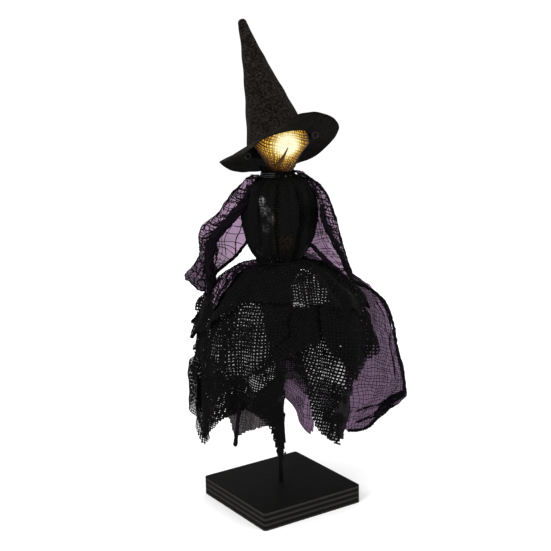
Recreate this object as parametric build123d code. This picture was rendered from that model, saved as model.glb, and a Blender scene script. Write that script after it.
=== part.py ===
from build123d import *
import math
import os

# Animated witch figure on a pole. Millimetres, +Z up, the figure faces -Y.
# Origin: centre of the underside of the base board, on the pole's axis.

# ---- driving dimensions ----
BASE_SIDE = 110.0
BASE_THICK = 18.0
BASE_CORNER = 3.0
BASE_TURN = 33.0            # the base board stands turned under the figure
POLE_R = 2.25
POLE_TOP = 257.8
POLE_FOOT = 6.0             # the pole is let into the board down to this height
SCREW_R = 1.5
RUN = 0.05                  # radial running clearance
WALL = 1.5                  # housing wall

MODULE = 0.5
FIXED_TEETH = 30
PINION_TEETH = 14
WHEEL_TEETH = 28
GEAR_LOW = 249.0            # underside of the fixed gear
GEAR_THICK = 3.0
IDLER_X = 8.0
IDLER_DISTANCE = MODULE * (FIXED_TEETH + PINION_TEETH) / 2
IDLER_Y = -math.sqrt(IDLER_DISTANCE ** 2 - IDLER_X ** 2)
MOTOR_X = IDLER_X - MODULE * (WHEEL_TEETH + PINION_TEETH) / 2
MOTOR_Y = IDLER_Y
WHEEL_LOW = GEAR_LOW + GEAR_THICK + 0.4
SHAFT_R = 1.0

HOUSE_X = (-14.0, 20.0)
HOUSE_Y = (-17.0, 15.0)
HOUSE_Z = (246.0, 305.0)
HOUSE_CORNER = 4.0
PLATE_Z = 256.2             # underside of the gear plate
PLATE_THICK = 1.5

CELL_R = 5.25
CELL_LENGTH = 44.5
CELL_X = (-2.8, 8.8)
CELL_Y = 7.9
CELL_LOW = 258.0
DOOR_X = (-10.8, 16.8)
DOOR_Z = (258.5, 301.0)

BODY_X = 5.0                # the clothes hang a little to the right of the pole
NECK_X = 6.0
PIVOT_Z = 314.0             # neck hinge
PIN_R = 1.0                 # neck hinge pin
KNUCKLE_R = 2.8             # rounded ends of the neck hinge
STEM_TOP = 331.0            # where the lamp stands
LAMP_R = 6.5
HEAD_C = Vector(8.0, 0.0, 347.0)
HEAD_R = 26.0
HAT_C = Vector(6.5, 0.0, 346.8)
HAT_LEAN = 16.0             # degrees to the figure's right hand side
HAT_BACK = 25.0             # degrees tipped back
BRIM_R = 57.0
CONE_R = 31.0
CONE_LENGTH = 128.0
EAR_R = 2.6                 # ear rings, middle of the wire
EAR_WIRE_R = 0.45
EAR_SPREAD = 32.0           # half the distance between the two rings
FELT = 1.6
CLOTH = 0.8


def save(shape, name):
    export_step(shape, f"parts/{name}.step")


def ring(r_out, r_in, low, high, x=0.0, y=0.0):
    outer = Pos(x, y, (low + high) / 2) * Cylinder(r_out, high - low)
    return outer - Pos(x, y, (low + high) / 2) * Cylinder(r_in, high - low + 2)


def rod(r, low, high, x=0.0, y=0.0):
    return Pos(x, y, (low + high) / 2) * Cylinder(r, high - low)


def block(x, y, z):
    centre = Pos((x[0] + x[1]) / 2, (y[0] + y[1]) / 2, (z[0] + z[1]) / 2)
    return centre * Box(x[1] - x[0], y[1] - y[0], z[1] - z[0])


def turned(points, x=0.0, first=0.0, last=360.0):
    """Turned solid about a vertical line at x, from (radius, height) points, between two angles."""
    face = make_face(Polyline(*[(r, 0, z) for r, z in points], close=True))
    return Pos(x, 0, 0) * Rot(0, 0, first) * revolve(face, Axis.Z, last - first)


def shell_of(profile, thick, x=0.0, first=0.0, last=360.0):
    """Thin turned shell: the profile is its outer line from top to bottom."""
    inner = []
    for i, (r, z) in enumerate(profile):
        r0, z0 = profile[max(i - 1, 0)]
        r1, z1 = profile[min(i + 1, len(profile) - 1)]
        dr, dz = r1 - r0, z1 - z0
        size = math.hypot(dr, dz)
        inner.append((max(0.01, r + thick * dz / size), z - thick * dr / size))
    return turned(list(profile) + inner[::-1], x, first, last)


# ---- stand ----
def base_board():
    board = Pos(0, 0, BASE_THICK / 2) * Box(BASE_SIDE, BASE_SIDE, BASE_THICK)
    board = fillet(board.edges().filter_by(Axis.Z), BASE_CORNER)
    board = fillet(board.faces().sort_by(Axis.Z)[-1].edges(), 0.6)
    board -= rod(POLE_R, POLE_FOOT, BASE_THICK + 1)
    board -= rod(SCREW_R + 0.2, -1, POLE_FOOT + 1)
    board -= rod(6.0, -1, 3.5)
    return Rot(0, 0, BASE_TURN) * board


def pole():
    body = rod(POLE_R, POLE_FOOT, POLE_TOP)
    body = chamfer(body.edges().group_by(Axis.Z)[-1], 0.5)
    return body - rod(SCREW_R, POLE_FOOT - 1, POLE_FOOT + 9)


def pole_screw():
    head = rod(2.8, 0.6, 2.7)
    shank = rod(SCREW_R, 2.7, POLE_FOOT + 8)
    slot_a = Pos(0, 0, 0.8) * Box(3.2, 0.8, 1.6)
    slot_b = Pos(0, 0, 0.8) * Box(0.8, 3.2, 1.6)
    return head + shank - slot_a - slot_b


def screw_washer():
    return ring(5.0, SCREW_R + 0.15, 2.7, 3.5)


def pole_collar():
    body = ring(5.5, POLE_R, 237.5, 243.4)
    low_edges = body.edges().filter_by(GeomType.CIRCLE).group_by(Axis.Z)[0]
    body = chamfer(low_edges.sort_by(SortBy.LENGTH)[-1], 0.6)
    grub = Pos(0, -4.2, 240.4) * Rot(90, 0, 0) * Cylinder(1.25, 4.0)
    return body - grub


def thrust_washer():
    return ring(5.0, POLE_R + 0.25, 243.5, 244.3)


# ---- gears ----
def tooth_points(teeth, backlash):
    """One tooth's outline, root to tip to root, of an involute gear about the origin."""
    pitch = MODULE * teeth / 2
    base = pitch * math.cos(math.radians(20))
    tip = pitch + 0.9 * MODULE
    root = pitch - 1.25 * MODULE
    half = math.pi / (2 * teeth) - backlash / (2 * pitch)
    inv = math.tan(math.radians(20)) - math.radians(20)
    flank = []
    start = max(base, root)
    for i in range(6):
        r = start + (tip - start) * i / 5
        a = math.acos(min(1.0, base / r))
        flank.append((r, half + inv - (math.tan(a) - a)))
    if root < base:
        slim = 0.55 * flank[0][1]
        flank = [(root, slim), (0.5 * (root + base), 0.8 * flank[0][1])] + flank
    return [(r, -a) for r, a in flank] + [(r, a) for r, a in flank[::-1]]


def gear(teeth, low, thick, x=0.0, y=0.0, turn=0.0, backlash=0.08):
    outline = []
    for k in range(teeth):
        middle = math.radians(turn) + 2 * math.pi * k / teeth
        for r, a in tooth_points(teeth, backlash):
            outline.append((r * math.cos(middle + a), r * math.sin(middle + a)))
    face = make_face(Polyline(*outline, close=True))
    return Pos(x, y, low) * extrude(face, thick)


def mesh_turn(driver_turn, driver_teeth, teeth, direction):
    """Turn of a gear that meshes, at rest, with a driver lying the other way along direction."""
    driver_phase = (direction - driver_turn) * driver_teeth / 360.0
    return direction + 180.0 + (driver_phase + 0.5) * 360.0 / teeth


TO_IDLER = math.degrees(math.atan2(IDLER_Y, IDLER_X))
IDLER_TURN = mesh_turn(0.0, FIXED_TEETH, PINION_TEETH, TO_IDLER)
MOTOR_TURN = mesh_turn(0.0, WHEEL_TEETH, PINION_TEETH, 180.0)


def fixed_gear():
    wheel = gear(FIXED_TEETH, GEAR_LOW, GEAR_THICK)
    hub = ring(4.2, POLE_R, GEAR_LOW - 1.0, GEAR_LOW)
    return wheel - rod(POLE_R, GEAR_LOW - 1, GEAR_LOW + 9) + hub


def idler_gear():
    small = gear(PINION_TEETH, GEAR_LOW, GEAR_THICK + 0.4, IDLER_X, IDLER_Y, IDLER_TURN)
    large = gear(WHEEL_TEETH, WHEEL_LOW, 2.4, IDLER_X, IDLER_Y)
    return small + large - rod(SHAFT_R + RUN, 240, 270, IDLER_X, IDLER_Y)


def motor_pinion():
    teeth = gear(PINION_TEETH, WHEEL_LOW - 0.1, 3.0, MOTOR_X, MOTOR_Y, MOTOR_TURN)
    return teeth + rod(SHAFT_R, WHEEL_LOW, 261.0, MOTOR_X, MOTOR_Y)


# ---- mechanism housing ----
def house_block(inset, y, z):
    body = block((HOUSE_X[0] + inset, HOUSE_X[1] - inset), y, z)
    return fillet(body.edges().filter_by(Axis.Z), HOUSE_CORNER - inset)


SCREW_POSTS = [(x, z) for x in (HOUSE_X[0] + 2.9, HOUSE_X[1] - 2.9) for z in (249.4, 303.0)]
SPLIT_Y = 0.0


def housing():
    outer = house_block(0.0, HOUSE_Y, HOUSE_Z)
    inner_y = (HOUSE_Y[0] + WALL, HOUSE_Y[1] - WALL)
    inner = house_block(WALL, inner_y, (HOUSE_Z[0] + WALL, HOUSE_Z[1] - WALL))
    body = outer - inner
    body -= rod(3.6, HOUSE_Z[0] - 1, HOUSE_Z[0] + 3)
    body -= rod(3.0, HOUSE_Z[1] - 3, HOUSE_Z[1] + 1, NECK_X)
    return body


def housing_front():
    body = housing() & block((-40, 60), (-40, SPLIT_Y), (200, 400))
    for x, z in SCREW_POSTS:
        body += block((x - 1.8, x + 1.8), (HOUSE_Y[0] + 0.7, SPLIT_Y), (z - 1.6, z + 1.6))
    for x, z in SCREW_POSTS:
        body -= Pos(x, -5.0, z) * Rot(90, 0, 0) * Cylinder(0.8, 16.0)
    grille = [Pos(3.0, HOUSE_Y[0], 284.0 + 4.0 * i) * Box(12, 8, 1.6) for i in range(4)]
    return body - grille


def housing_rear():
    body = housing() & block((-40, 60), (SPLIT_Y, 40), (200, 400))
    body -= block((CELL_X[0] - 5.6, CELL_X[1] + 5.6), (10, 30), (DOOR_Z[0] + 1.5, DOOR_Z[1] - 1.5))
    body -= block((9.0, 14.2), (6.2, 8.8), (HOUSE_Z[0] - 1, HOUSE_Z[0] + 3))
    for side in (-1, 1):
        face = 3.0 + side * 14.1
        rail = block(sorted((face, face + side * 1.2)), (12.0, 17.9), DOOR_Z)
        lip = block(sorted((face - side * 1.4, face)), (16.9, 17.9), DOOR_Z)
        body += rail + lip
    body += block((-8, 14), (15.0, 16.4), (DOOR_Z[1] + 0.4, DOOR_Z[1] + 1.6))
    for x, z in SCREW_POSTS:
        body -= Pos(x, 7.5, z) * Rot(90, 0, 0) * Cylinder(1.2, 20)
    return body


def housing_screws():
    screws = []
    for x, z in SCREW_POSTS:
        shank = Pos(x, 3.5, z) * Rot(90, 0, 0) * Cylinder(0.8, 23)
        head = Pos(x, 15.6, z) * Rot(90, 0, 0) * Cylinder(1.6, 1.2)
        screws.append(shank + head)
    return Compound(children=screws)


def lower_bush():
    sleeve = ring(3.6, POLE_R + RUN, HOUSE_Z[0], HOUSE_Z[0] + 1.6)
    return sleeve + ring(5.2, POLE_R + RUN, 244.4, 246.0)


def gear_plate():
    body = block((HOUSE_X[0] + 1.9, HOUSE_X[1] - 1.9), (-15.2, 13.2), (PLATE_Z, PLATE_Z + PLATE_THICK))
    body = fillet(body.edges().filter_by(Axis.Z), 2.0)
    body -= rod(POLE_R + RUN, 240, 270)
    body -= rod(SHAFT_R, 240, 270, IDLER_X, IDLER_Y)
    body -= rod(2.6, 240, 270, MOTOR_X, MOTOR_Y)
    return body


def idler_pin():
    return rod(SHAFT_R, HOUSE_Z[0] + WALL, PLATE_Z + PLATE_THICK, IDLER_X, IDLER_Y)


def gear_motor():
    can = rod(5.8, 258.0, 276.5, MOTOR_X, MOTOR_Y)
    can = fillet(can.edges().group_by(Axis.Z)[-1], 1.0)
    tail = rod(2.0, 276.5, 278.0, MOTOR_X, MOTOR_Y)
    return can + tail - rod(SHAFT_R + RUN, 257, 262, MOTOR_X, MOTOR_Y)


def battery_cells():
    cells = []
    for x in CELL_X:
        can = rod(CELL_R, CELL_LOW + 1.4, CELL_LOW + 1.4 + CELL_LENGTH - 2.6, x, CELL_Y)
        can = fillet(can.edges(), 0.5)
        top = CELL_LOW + CELL_LENGTH - 1.2
        cells.append(can + rod(1.9, top, top + 0.8, x, CELL_Y))
    return Compound(children=cells)


def battery_contacts():
    low = CELL_LOW + 0.3
    upper = block((CELL_X[0] - 3.5, CELL_X[1] + 3.5), (5.2, 10.6), (302.4, 302.8))
    lower = [block((x - 3.5, x + 3.5), (5.2, 10.6), (low, low + 0.4)) for x in CELL_X]
    return Compound(children=[upper] + lower)


def battery_springs():
    springs = [ring(2.6, 1.9, CELL_LOW + 0.75, CELL_LOW + 1.35, x, CELL_Y) for x in CELL_X]
    return Compound(children=springs)


def battery_cover():
    body = block(DOOR_X, (15.25, 16.65), DOOR_Z)
    ridges = [block((-3, 9), (16.65, 17.25), (292.0 + 2.2 * i, 293.0 + 2.2 * i)) for i in range(4)]
    for ridge in ridges:
        body += ridge
    return body


def circuit_board():
    return block((-8.5, 14.5), (-10.6, -9.2), (281.0, 302.0))


def board_parts():
    chip = block((-2, 5), (-9.2, -7.6), (288, 293))
    driver = block((7.5, 12), (-9.2, -7.8), (286, 290))
    capacitor = Pos(-5.5, -6.6, 296) * Rot(90, 0, 0) * Cylinder(2.2, 5.2)
    crystal = block((7, 12), (-9.2, -7.4), (295, 297.2))
    return Compound(children=[chip, driver, capacitor, crystal])


def switch_body():
    body = block((7.6, 15.6), (5.0, 10.2), (247.6, 252.4))
    return body - block((9.0, 14.2), (6.2, 8.8), (247, 250.6))


def switch_knob():
    return block((9.4, 11.0), (6.5, 8.5), (243.6, 250.2))


def neck_tube():
    tube = ring(4.2, 2.4, 305.0, 310.5, NECK_X)
    tube += ring(6.2, 2.4, 305.0, 306.4, NECK_X)
    for side in (-1, 1):
        fork = block((NECK_X - KNUCKLE_R, NECK_X + KNUCKLE_R), sorted((side * 2.3, side * 4.1)),
                     (309.5, PIVOT_Z))
        fork += Pos(NECK_X, side * 3.2, PIVOT_Z) * Rot(90, 0, 0) * Cylinder(KNUCKLE_R, 1.8)
        tube += fork
    return tube - Pos(NECK_X, 0, PIVOT_Z) * Rot(90, 0, 0) * Cylinder(PIN_R + RUN, 20)


# ---- head ----
def head_stem():
    tongue = Pos(NECK_X, 0, PIVOT_Z) * Rot(90, 0, 0) * Cylinder(KNUCKLE_R, 4.0)
    tongue += block((NECK_X - KNUCKLE_R, NECK_X + KNUCKLE_R), (-2.0, 2.0), (PIVOT_Z, 319.5))
    neck = rod(4.0, 319.5, 327.0, NECK_X)
    holder = rod(6.0, 327.0, STEM_TOP, NECK_X)
    holder = chamfer(holder.edges().group_by(Axis.Z)[-1], 1.0)
    body = tongue + neck + holder
    return body - Pos(NECK_X, 0, PIVOT_Z) * Rot(90, 0, 0) * Cylinder(PIN_R, 20)


def neck_pin():
    return Pos(NECK_X, 0, PIVOT_Z) * Rot(90, 0, 0) * Cylinder(PIN_R, 9.4)


def lamp():
    stem = rod(3.6, STEM_TOP, STEM_TOP + 9.0, NECK_X)
    dome = Pos(NECK_X, 0, STEM_TOP + 13.0) * Sphere(LAMP_R)
    return stem + dome


def head_bag():
    """Burlap ball with a narrow neck, open at the bottom where the stem enters."""
    c = HEAD_C
    profile = [(0.01, c.Z + HEAD_R)]
    steps = 14
    for i in range(1, steps):
        a = math.radians(90 - 150 * i / steps)
        profile.append((HEAD_R * math.cos(a), c.Z + HEAD_R * math.sin(a)))
    profile.append((9.6, 323.2))
    profile.append((9.2, 321.4))
    return shell_of(profile, 1.0, c.X)


def head_tie():
    return Pos(HEAD_C.X, 0, 322.2) * Torus(10.3, 0.6)


def hat_place():
    return Pos(*HAT_C) * Rot(0, -HAT_LEAN, 0) * Rot(-HAT_BACK, 0, 0)


def hat_cone():
    outline = [(CONE_R, 0.9), (CONE_R * 0.80, CONE_LENGTH * 0.17), (CONE_R * 0.40, CONE_LENGTH * 0.62),
               (4.4, CONE_LENGTH - 3.5), (2.6, CONE_LENGTH - 0.8), (0.01, CONE_LENGTH)]
    inside = [(0.01, CONE_LENGTH - 6), (CONE_R * 0.40 - 1.9, CONE_LENGTH * 0.62),
              (CONE_R * 0.80 - 1.9, CONE_LENGTH * 0.17), (CONE_R - 1.8, 0.9)]
    return hat_place() * turned(outline + inside)


def hat_brim():
    """Wide flat brim round the foot of the cone."""
    return hat_place() * ring(BRIM_R, CONE_R - 1.8, -FELT / 2, FELT / 2)


def ear_rings():
    """Two wire rings close under the brim, either side of the head."""
    rings = []
    for side in (-1, 1):
        spot = Pos(*HAT_C) * Rot(0, -HAT_LEAN, 0) * Pos(side * EAR_SPREAD + 1.9, -8.0, -1.0)
        rings.append(spot * Rot(90, 0, 20) * Torus(EAR_R, EAR_WIRE_R))
    return Compound(children=rings)


# ---- clothes ----
def torso_bag():
    """Gathered burlap bag, open at the neck and at the waist."""
    profile = [(12.0, 318.8), (12.2, 317.4), (18.0, 316.4), (27.0, 314.0), (31.5, 307.0), (34.6, 296.0),
               (35.2, 283.0), (33.2, 269.0), (29.8, 256.0), (25.4, 247.5), (20.6, 240.8)]
    return shell_of(profile, CLOTH, BODY_X)


def collar_band():
    return ring(13.8, 12.5, 317.9, 319.9, BODY_X)


def waist_tie():
    return Pos(BODY_X, 0, 239.2) * Torus(22.6, 0.8)


SEAM = 1.0                  # half the angle left free between neighbouring skirt panels
TIER_LINE = [(20.4, 238.0), (34.0, 232.0), (46.0, 224.0), (56.0, 215.0), (61.0, 208.0)]
OVER_LINE = [(20.0, 236.2), (33.0, 230.2), (45.0, 222.2), (56.0, 212.5), (64.0, 202.5), (71.0, 190.0),
             (74.5, 175.0), (76.5, 155.0), (77.0, 128.0)]
UNDER_LINE = [(19.6, 234.4), (32.0, 228.2), (44.0, 220.2), (54.5, 211.0), (62.0, 201.0), (68.5, 188.5),
              (71.5, 174.0), (73.0, 150.0), (72.0, 120.0), (70.0, 95.0), (66.0, 66.0)]


def skirt_panel(line, first, last, points, depth):
    """A turned skirt panel between two angles, its hem cut into hanging points with V shaped gaps."""
    panel = shell_of(line, CLOTH, BODY_X, first + SEAM, last - SEAM)
    radius, low = line[-1]
    step = (last - first) / points
    half = math.radians(step / 4) * radius
    for k in range(points):
        gap = make_face(Polyline((0, -half, low - 1), (0, half, low - 1), (0, 0, low + depth), close=True))
        wedge = Pos(radius * 0.6, 0, 0) * extrude(gap, radius, (1, 0, 0))
        panel -= Pos(BODY_X, 0, 0) * Rot(0, 0, first + step * (k + 0.5)) * wedge
    return panel


def skirt_top_tier():
    return skirt_panel(TIER_LINE, 0.0, 360.0 + 2 * SEAM, 7, 5.0)


def over_skirt_left():
    return skirt_panel(OVER_LINE, 180.0, 275.0, 2, 26.0)


def over_skirt_right():
    return skirt_panel(OVER_LINE, 275.0, 365.0, 2, 26.0)


def over_skirt_back():
    return skirt_panel(OVER_LINE, 5.0, 180.0, 3, 26.0)


def under_skirt_left():
    return skirt_panel(UNDER_LINE, 175.0, 275.0, 3, 42.0)


def under_skirt_right():
    return skirt_panel(UNDER_LINE, 275.0, 350.0, 2, 42.0)


def under_skirt_back():
    return skirt_panel(UNDER_LINE, -10.0, 175.0, 4, 42.0)


def tube_of(sections):
    """Sleeve: a tapered tube through oval sections (x, z, half width, half depth), open at both ends."""
    outer = []
    inner = []
    count = len(sections)
    for i, (x, z, a, b) in enumerate(sections):
        x0, z0 = sections[max(i - 1, 0)][:2]
        x1, z1 = sections[min(i + 1, count - 1)][:2]
        along = Vector(x1 - x0, 0, z1 - z0).normalized()
        plane = Plane((x, 0, z), x_dir=(along.Z, 0, -along.X), z_dir=along)
        outer.append(plane * Ellipse(a, b))
        inner.append(plane * Ellipse(a - CLOTH, b - CLOTH))
    return loft(outer, ruled=True) - loft(inner, ruled=True)


def left_sleeve():
    return tube_of([(-33.5, 306.0, 4.5, 9.0), (-46.5, 283.0, 12.5, 13.0), (-52.5, 258.0, 17.0, 15.0),
                    (-60.5, 232.0, 15.0, 13.0), (-70.0, 208.0, 10.0, 11.0)])


def right_sleeve():
    return tube_of([(42.5, 304.5, 4.0, 9.0), (48.5, 283.0, 6.0, 12.0), (52.0, 258.0, 10.5, 13.0),
                    (59.0, 237.0, 10.0, 12.0), (70.0, 216.0, 7.5, 10.0)])


# height, axis x, radius, first and last angle from +X towards +Y
CAPE_LEVELS = [(310, 5, 36.5, 50, 130), (284, 5, 39, 48, 132), (250, 6, 45, 42, 134), (224, 9, 61, 26, 128),
               (200, 17, 77, 4, 116), (165, 26, 85, -14, 108), (125, 31, 88, -22, 104),
               (98, 33, 88, -26, 103), (62, 31, 70, -30, 96)]


def cape():
    rows = []
    for z, x, r, first, last in CAPE_LEVELS:
        row = []
        for j in range(9):
            a = math.radians(first + (last - first) * j / 8)
            row.append(Vector(x + r * math.cos(a), r * math.sin(a), z))
        rows.append(row)
    sheet = Face.make_surface_from_array_of_points(rows)
    return Solid.thicken(sheet, 0.9)


PARTS = {
    "base_board": base_board, "pole": pole, "pole_screw": pole_screw, "screw_washer": screw_washer,
    "pole_collar": pole_collar, "thrust_washer": thrust_washer, "fixed_gear": fixed_gear,
    "idler_gear": idler_gear, "motor_pinion": motor_pinion, "housing_front": housing_front,
    "housing_rear": housing_rear, "housing_screws": housing_screws, "lower_bush": lower_bush,
    "gear_plate": gear_plate, "idler_pin": idler_pin, "gear_motor": gear_motor,
    "battery_cells": battery_cells, "battery_contacts": battery_contacts, "battery_springs": battery_springs,
    "battery_cover": battery_cover, "circuit_board": circuit_board, "board_parts": board_parts,
    "switch_body": switch_body, "switch_knob": switch_knob, "neck_tube": neck_tube, "head_stem": head_stem,
    "neck_pin": neck_pin, "lamp": lamp, "head_bag": head_bag, "head_tie": head_tie, "hat_cone": hat_cone,
    "hat_brim": hat_brim, "ear_rings": ear_rings, "torso_bag": torso_bag, "collar_band": collar_band,
    "waist_tie": waist_tie, "skirt_top_tier": skirt_top_tier, "over_skirt_left": over_skirt_left,
    "over_skirt_right": over_skirt_right, "over_skirt_back": over_skirt_back,
    "under_skirt_left": under_skirt_left, "under_skirt_right": under_skirt_right,
    "under_skirt_back": under_skirt_back, "left_sleeve": left_sleeve, "right_sleeve": right_sleeve,
    "cape": cape,
}

os.makedirs("parts", exist_ok=True)
for name, make in PARTS.items():
    save(make(), name)
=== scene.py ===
import math
import bpy
import numpy as np
from mathutils import Matrix, Vector


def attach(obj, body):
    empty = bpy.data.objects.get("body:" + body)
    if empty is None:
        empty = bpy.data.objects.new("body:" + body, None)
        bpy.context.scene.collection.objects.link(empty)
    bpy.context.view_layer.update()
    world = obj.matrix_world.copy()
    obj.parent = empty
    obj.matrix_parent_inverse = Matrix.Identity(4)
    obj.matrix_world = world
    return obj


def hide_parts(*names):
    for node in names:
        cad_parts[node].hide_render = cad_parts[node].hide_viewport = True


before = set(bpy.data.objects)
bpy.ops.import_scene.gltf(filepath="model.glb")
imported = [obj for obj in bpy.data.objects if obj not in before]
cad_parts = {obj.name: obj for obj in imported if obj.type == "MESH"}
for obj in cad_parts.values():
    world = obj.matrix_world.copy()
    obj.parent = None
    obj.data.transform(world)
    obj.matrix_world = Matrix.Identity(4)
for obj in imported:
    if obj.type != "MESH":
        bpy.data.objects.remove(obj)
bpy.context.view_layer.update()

# Sizes below are in millimetres in the frame's axes (+X right, -Y towards the viewer, +Z up); meshes are in metres.
MM = 0.001


# -------- smooth curves, surfaces and noise
def cubic(count, t):
    """Catmull-Rom: the four point numbers and weights at t (0..1) along count points."""
    x = np.clip(t, 0, 1) * (count - 1)
    i = np.minimum(x.astype(int), count - 2)
    f = x - i
    w = np.stack([-0.5 * f + f * f - 0.5 * f ** 3, 1 - 2.5 * f * f + 1.5 * f ** 3,
                  0.5 * f + 2 * f * f - 1.5 * f ** 3, -0.5 * f * f + 0.5 * f ** 3], -1)
    return np.clip(i[..., None] + np.arange(-1, 3), 0, count - 1), w


def curve(points):
    """A smooth line through points, as a function of 0..1."""
    p = np.array(points, float)

    def at(t):
        i, w = cubic(len(p), np.asarray(t, float))
        return np.einsum("...i,...ik->...k", w, p[i])
    return at


def patch(rows):
    """A smooth surface through rows of points: u runs along a row, v from the first row to the last."""
    p = np.array(rows, float)

    def at(u, v):
        iu, wu = cubic(p.shape[1], np.asarray(u, float))
        iv, wv = cubic(p.shape[0], np.asarray(v, float))
        return np.einsum("...i,...j,...ijk->...k", wv, wu, p[iv[..., :, None], iu[..., None, :]])
    return at


def waves(p, size, seed, count=8):
    """Smooth noise of about -1..1 in space, with features of that size."""
    r = np.random.default_rng(seed)
    k = r.normal(size=(count, p.shape[-1]))
    k *= (2 * math.pi / size) / np.linalg.norm(k, axis=1, keepdims=True) * r.uniform(0.6, 1.3, (count, 1))
    phase = r.uniform(0, 2 * math.pi, count)
    return np.sin(p @ k.T + phase).sum(-1) / math.sqrt(count) * 0.9


def unit(v):
    return v / np.maximum(np.linalg.norm(v, axis=-1, keepdims=True), 1e-9)


def crumpled(surface, amount, size, seed, fine=0.0):
    """The same surface with soft irregular dents along its normal."""
    def at(a, b):
        p = surface(a, b)
        n = unit(np.cross(surface(a + 0.5, b) - surface(a - 0.5, b), surface(a, b + 0.5) - surface(a, b - 0.5)))
        bump = amount * waves(p, size, seed) + fine * waves(p, size * 0.35, seed + 1)
        return p + n * bump[..., None]
    return at


# -------- meshes
def add_object(name, data, place=(0, 0, 0)):
    obj = bpy.data.objects.new(name, data)
    bpy.context.scene.collection.objects.link(obj)
    obj.location = place
    return obj


def add_mesh(name, verts, faces, material):
    mesh = bpy.data.meshes.new(name)
    verts = np.asarray(verts, float) * MM
    faces = np.asarray(faces, np.int32)
    mesh.vertices.add(len(verts))
    mesh.vertices.foreach_set("co", verts.ravel())
    mesh.loops.add(faces.size)
    mesh.loops.foreach_set("vertex_index", faces.ravel())
    mesh.polygons.add(len(faces))
    mesh.polygons.foreach_set("loop_start", np.arange(0, faces.size, faces.shape[1], dtype=np.int32))
    mesh.update(calc_edges=True)
    mesh.validate()
    mesh.polygons.foreach_set("use_smooth", np.ones(len(mesh.polygons), bool))
    mesh.materials.append(material)
    return add_object(name, mesh)


def joined(parts):
    """Several (verts, faces) as one."""
    verts, faces, start = [], [], 0
    for v, f in parts:
        verts.append(v)
        faces.append(f + start)
        start += len(v)
    return np.concatenate(verts), np.concatenate(faces)


def grid_faces(rows, cols, keep=None, wrap=False):
    i, j = np.meshgrid(np.arange(rows - 1), np.arange(cols if wrap else cols - 1), indexing="ij")
    jn = (j + 1) % cols
    quads = np.stack([i * cols + j, i * cols + jn, (i + 1) * cols + jn, (i + 1) * cols + j], -1)
    if keep is not None:
        k = keep[:-1, :] & keep[1:, :]
        k = k[:, :-1] & k[:, 1:] if not wrap else k & np.roll(k, -1, axis=1)
        return quads[k]
    return quads.reshape(-1, 4)


def band_faces(first, second, cols):
    """Quads between two closed loops of points that start at these numbers."""
    j = np.arange(cols)
    k = (j + 1) % cols
    return np.stack([first + j, first + k, second + k, second + j], -1)


def tube_mesh(rings):
    """A tube through closed rings of points, an array of (rings, points, xyz)."""
    count, points = rings.shape[:2]
    return rings.reshape(-1, 3), grid_faces(count, points, wrap=True)


def tidy_mesh(verts, faces):
    used, back = np.unique(faces, return_inverse=True)
    return verts[used], back.reshape(faces.shape)


def edge_distance(poly, a, b):
    """Distance in mm inside a flat polygon's edge; negative outside."""
    poly = np.array(poly, float)
    best = np.full(a.shape, 1e9)
    inside = np.zeros(a.shape, bool)
    for p, q in zip(poly, np.roll(poly, -1, axis=0)):
        d = q - p
        t = np.clip(((a - p[0]) * d[0] + (b - p[1]) * d[1]) / (d @ d), 0, 1)
        best = np.minimum(best, np.hypot(a - p[0] - t * d[0], b - p[1] - t * d[1]))
        cross = (p[1] > b) != (q[1] > b)
        with np.errstate(divide="ignore", invalid="ignore"):
            x = p[0] + (b - p[1]) / (q[1] - p[1]) * d[0]
        inside ^= cross & (a < x)
    return np.where(inside, best, -best)


def inside(outline):
    return lambda a, b: edge_distance(outline, a, b)


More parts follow.
